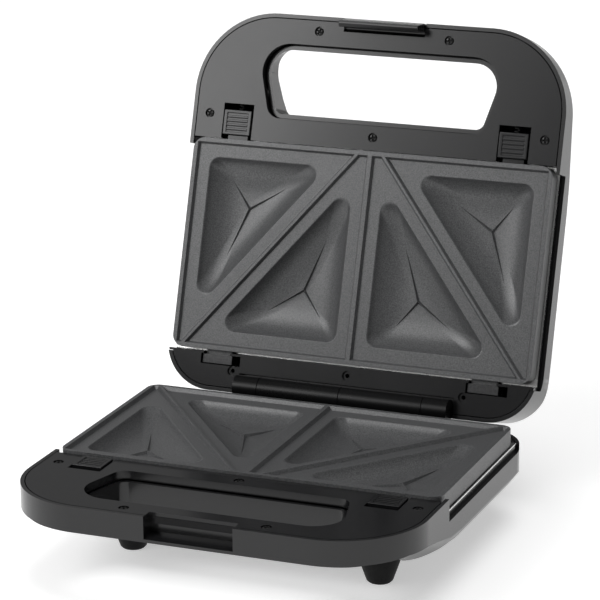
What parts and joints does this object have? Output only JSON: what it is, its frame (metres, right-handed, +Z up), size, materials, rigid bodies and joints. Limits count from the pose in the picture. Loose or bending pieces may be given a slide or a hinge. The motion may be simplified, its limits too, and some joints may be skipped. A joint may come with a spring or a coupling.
{
  "type": "sandwich toaster",
  "caption": "Black hinged sandwich toaster standing open, with pocketed non-stick plates, a through handle in each half and a front latch.",
  "frame": {"origin": "on the floor under the middle of the open toaster", "axes": "+Z up, +Y towards the hinge at the rear, +X to the right of someone facing the handle"},
  "size_m": [0.232, 0.3122, 0.2662],
  "materials": {
    "black_plastic": "semi-gloss",
    "black_screws": "satin",
    "bright_sheet": "bright",
    "clip_steel": "satin",
    "coated_plate": "satin, non-stick coated",
    "element_sheath": "dull",
    "green_lens": "clear",
    "pin_steel": "satin",
    "red_lens": "clear",
    "rubber": "matte",
    "spring_steel": "bright",
    "white_plastic": "matte"
  },
  "bodies": {
    "base": {"base_bezel": "black_plastic", "base_bezel_screws": "black_screws", "base_element_supports": "clip_steel", "base_heating_element": "element_sheath", "base_plate_clips": "clip_steel", "base_reflector": "bright_sheet", "base_reflector_screws": "clip_steel", "base_shell": "black_plastic", "base_thermostat": "clip_steel", "cord_bush": "rubber", "feet": "rubber", "left_hinge_pin": "pin_steel", "lower_left_release_spring": "spring_steel", "lower_plate": "coated_plate", "lower_right_release_spring": "spring_steel", "right_hinge_pin": "pin_steel", "terminal_block": "white_plastic", "thermal_fuse": "clip_steel"},
    "lid": {"latch_pin": "pin_steel", "lid_bezel": "black_plastic", "lid_bezel_screws": "black_screws", "lid_element_supports": "clip_steel", "lid_heating_element": "element_sheath", "lid_plate_clips": "clip_steel", "lid_reflector": "bright_sheet", "lid_reflector_screws": "clip_steel", "lid_shell": "black_plastic", "lid_thermostat": "clip_steel", "power_light": "red_lens", "ready_light": "green_lens", "upper_left_release_spring": "spring_steel", "upper_plate": "coated_plate", "upper_right_release_spring": "spring_steel"},
    "latch": {"latch_lever": "black_plastic"},
    "lower_left_release": {"lower_left_release": "black_plastic"},
    "lower_right_release": {"lower_right_release": "black_plastic"},
    "upper_left_release": {"upper_left_release": "black_plastic"},
    "upper_right_release": {"upper_right_release": "black_plastic"}
  },
  "joints": [
    {"name": "lid_hinge", "type": "hinge", "parent": "base", "child": "lid", "pos_m": [0, 0.0679, 0.05425], "axis": [1, 0, 0], "range_deg": [0, 108.3]},
    {"name": "latch_hinge", "type": "hinge", "parent": "lid", "child": "latch", "pos_m": [0, 0.14491, 0.25924], "axis": [1, 0, 0], "range_deg": [-25, 8]},
    {"name": "lower_left_release_slide", "type": "slide", "parent": "base", "child": "lower_left_release", "axis": [0, -1, 0], "range_m": [0, 0.0035], "stiffness_N_per_m": 500, "springref_m": -0.002, "deforming": ["lower_left_release_spring"]},
    {"name": "lower_right_release_slide", "type": "slide", "parent": "base", "child": "lower_right_release", "axis": [0, -1, 0], "range_m": [0, 0.0035], "stiffness_N_per_m": 500, "springref_m": -0.002, "deforming": ["lower_right_release_spring"]},
    {"name": "upper_left_release_slide", "type": "slide", "parent": "lid", "child": "upper_left_release", "axis": [0, 0.314, 0.9494], "range_m": [0, 0.0035], "stiffness_N_per_m": 500, "springref_m": -0.002, "deforming": ["upper_left_release_spring"]},
    {"name": "upper_right_release_slide", "type": "slide", "parent": "lid", "child": "upper_right_release", "axis": [0, 0.314, 0.9494], "range_m": [0, 0.0035], "stiffness_N_per_m": 500, "springref_m": -0.002, "deforming": ["upper_right_release_spring"]}
  ]
}
